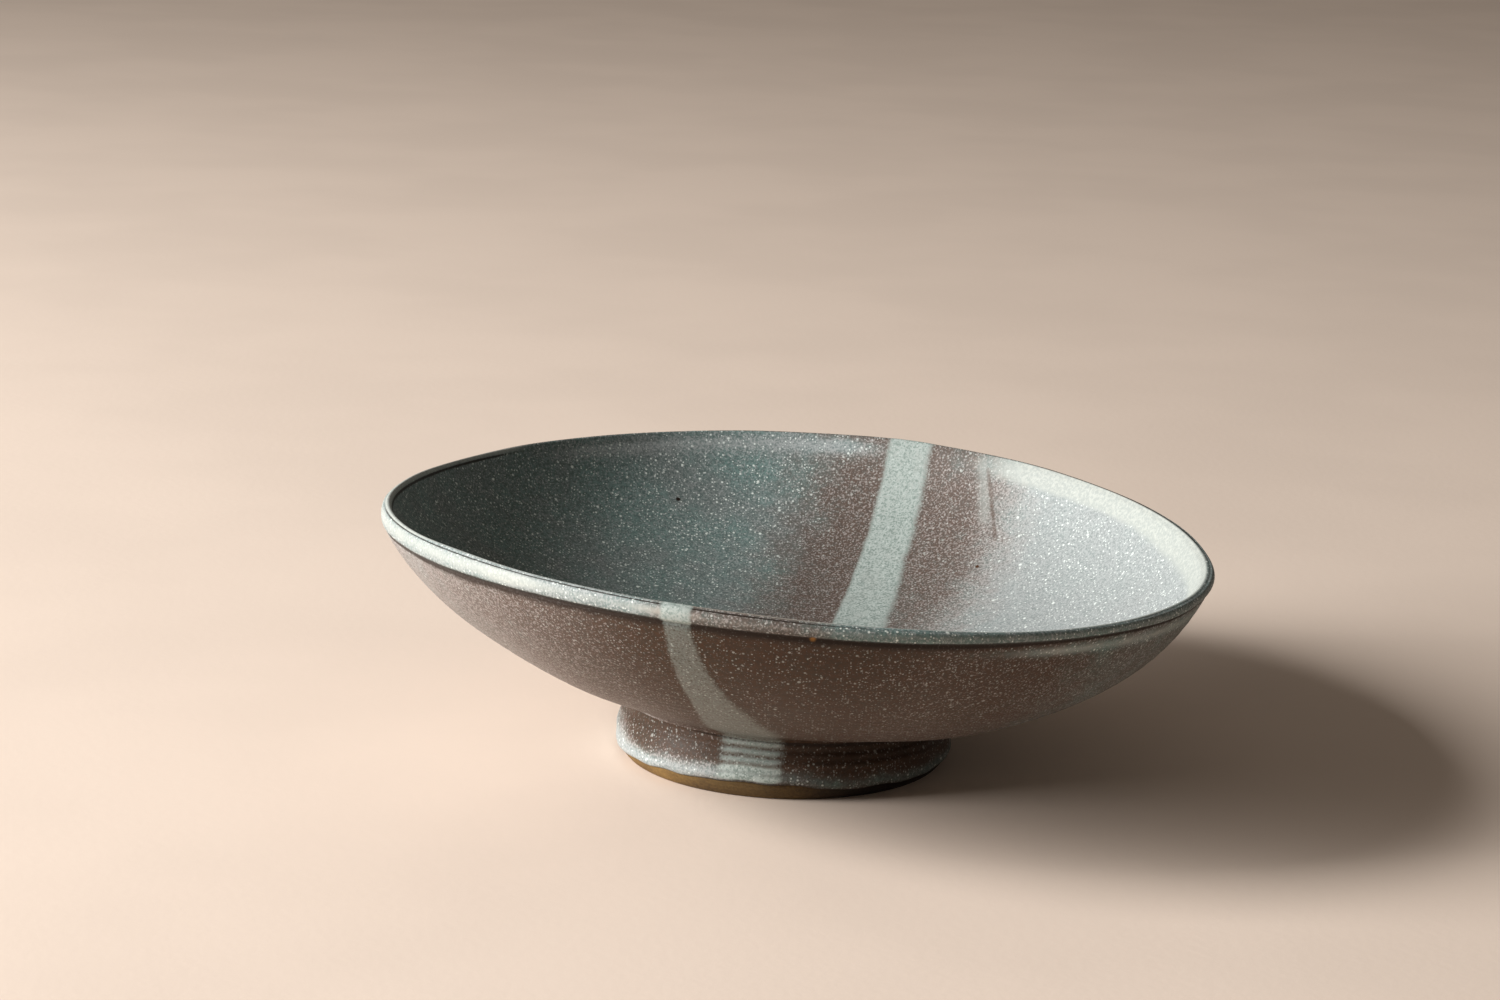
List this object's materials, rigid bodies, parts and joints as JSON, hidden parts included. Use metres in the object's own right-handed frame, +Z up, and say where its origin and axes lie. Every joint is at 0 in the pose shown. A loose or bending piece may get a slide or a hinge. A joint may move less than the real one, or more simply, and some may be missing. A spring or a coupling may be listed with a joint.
{
  "type": "footed bowl",
  "caption": "Hand-thrown stoneware serving bowl with a leaning oval rim, rolled lip, flared foot ring, speckled glaze and a pale glaze band across its middle.",
  "frame": {"origin": "centre of the circle that the foot ring stands on", "axes": "+Z up along the axis of the foot, -Y to the front, where the rim is highest on the left; the rim's long axis runs roughly along Y"},
  "size_m": [0.3, 0.3207, 0.0968],
  "materials": {
    "bare_clay": "matte",
    "speckled_glaze": "satin",
    "pale_glaze": "satin"
  },
  "bodies": {
    "root": {"basin": "bare_clay", "foot_ring": "bare_clay", "luting_slip": "bare_clay", "liner_glaze": "speckled_glaze", "outer_glaze": "speckled_glaze", "foot_glaze": "speckled_glaze", "stripe_inside": "pale_glaze", "stripe_front": "pale_glaze", "stripe_back": "pale_glaze", "stripe_front_foot": "pale_glaze", "stripe_back_foot": "pale_glaze"}
  },
  "joints": []
}
